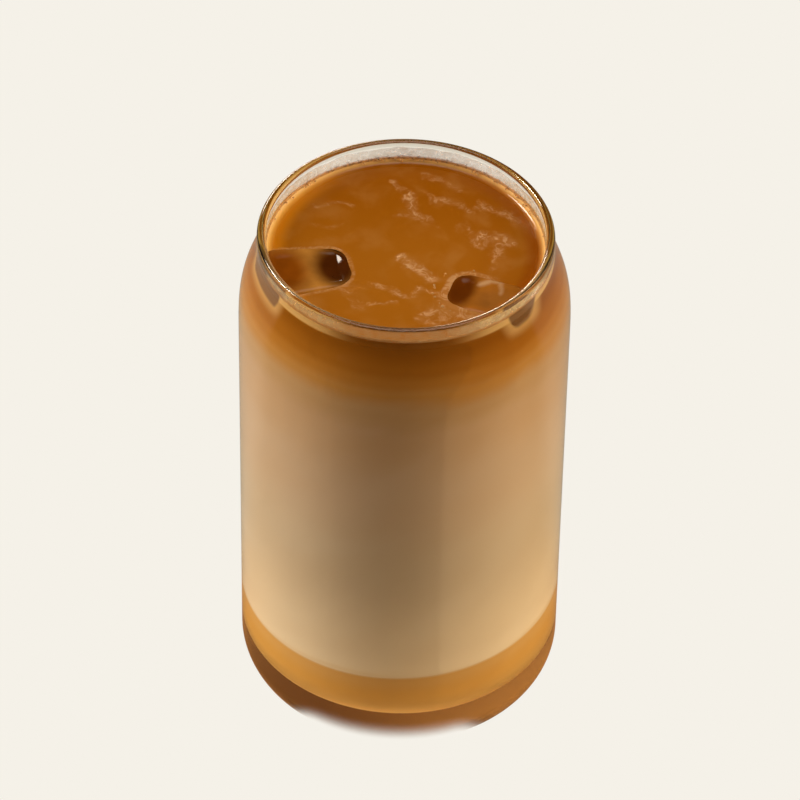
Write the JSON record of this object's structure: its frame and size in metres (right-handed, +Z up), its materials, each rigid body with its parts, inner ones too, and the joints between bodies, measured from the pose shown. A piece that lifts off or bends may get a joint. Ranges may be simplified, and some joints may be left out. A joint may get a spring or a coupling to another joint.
{
  "type": "iced white mocha in a glass",
  "caption": "Iced white mocha in a clear can-shaped glass, layered from amber at the foot through pale milk to brown coffee, with ice cubes floating at the top.",
  "frame": {"origin": "centre of the glass's underside, on the surface that it stands on", "axes": "+Z up along the glass's axis; the two ice cubes float on the -Y side, one to the left (-X) and one to the right (+X)"},
  "size_m": [0.0762, 0.0762, 0.133],
  "materials": {
    "glass": "clear polished",
    "sweet_base": "liquid",
    "coffee_milk": "liquid",
    "coffee": "liquid",
    "ice": "wet clear"
  },
  "bodies": {
    "root": {"glass": "glass", "base_layer": "sweet_base", "milk_layer": "coffee_milk", "coffee_layer": "coffee", "ice_cube_left": "ice", "ice_cube_right": "ice"}
  },
  "joints": []
}
